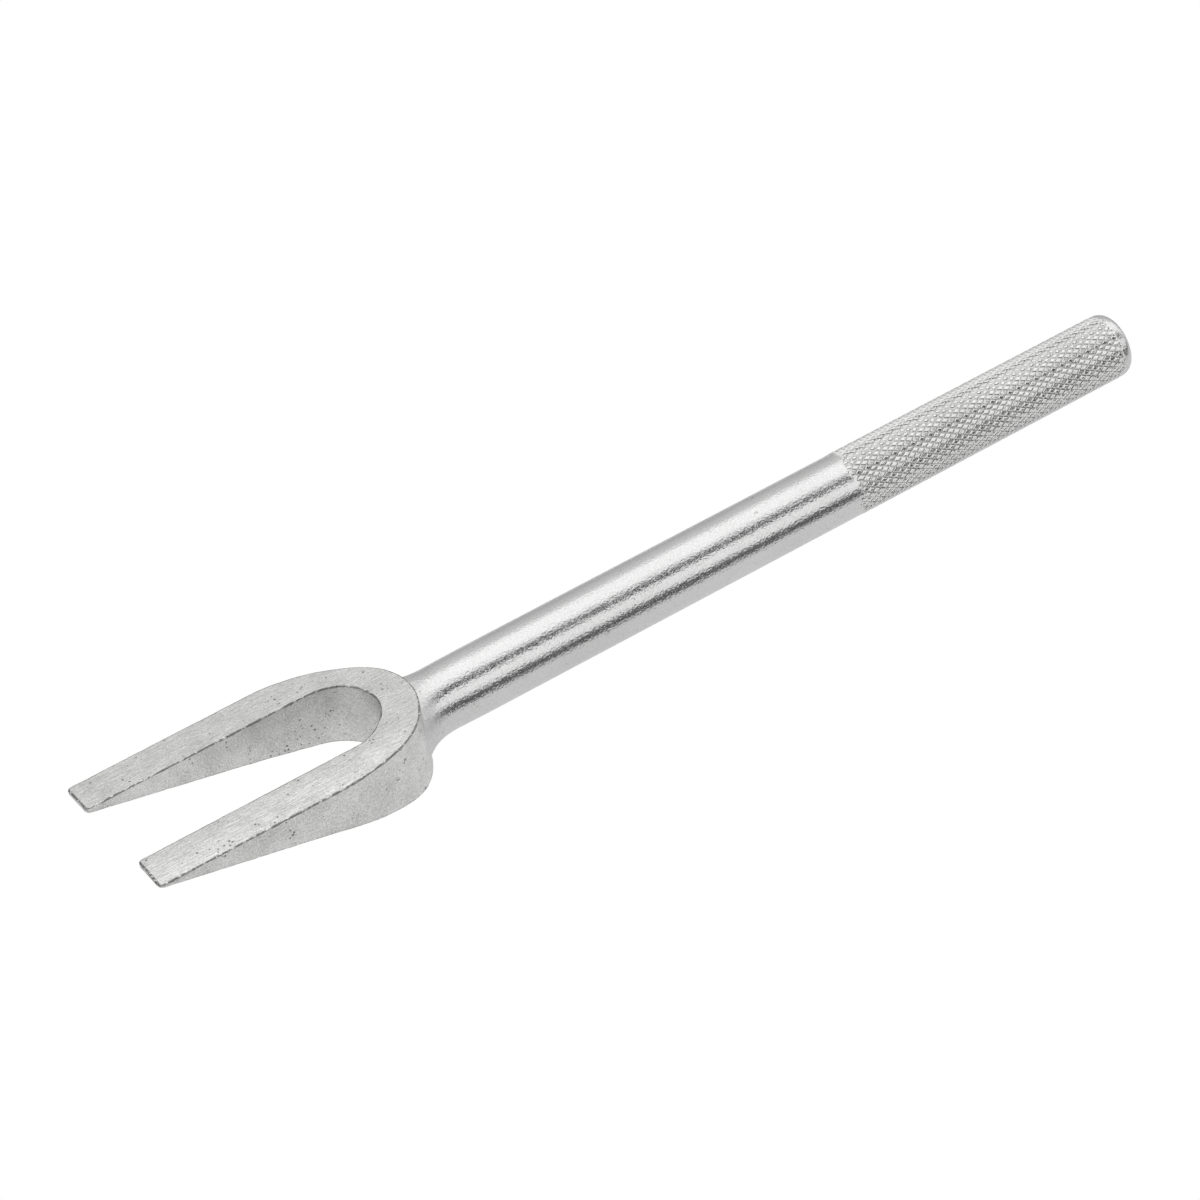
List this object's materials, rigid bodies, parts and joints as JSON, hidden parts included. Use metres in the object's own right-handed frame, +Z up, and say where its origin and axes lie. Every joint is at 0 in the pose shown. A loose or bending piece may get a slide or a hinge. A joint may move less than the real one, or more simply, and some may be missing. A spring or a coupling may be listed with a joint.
{
  "type": "ball joint separator",
  "caption": "Forged two-pronged wedge fork on a long round bar with a knurled grip, driven by a hammer to part a ball joint.",
  "frame": {"origin": "middle of the tool's length and width, level with the lowest face of the fork", "axes": "+X from the fork's tips to the struck end, +Y to the left tine, +Z up through the fork's flat top face"},
  "size_m": [0.3446, 0.0542, 0.0215],
  "materials": {
    "ground_zinc": "ground steel under thin bright zinc plating, satin, fine streaks along the tines",
    "bright_zinc": "turned steel under bright zinc plating, with a faint orange peel",
    "knurled_zinc": "diamond knurled steel under bright zinc plating"
  },
  "bodies": {
    "root": {"left_tine": "ground_zinc", "right_tine": "ground_zinc", "fork_bridge": "ground_zinc", "neck": "bright_zinc", "smooth_bar": "bright_zinc", "knurled_grip": "knurled_zinc", "struck_end": "bright_zinc"}
  },
  "joints": []
}
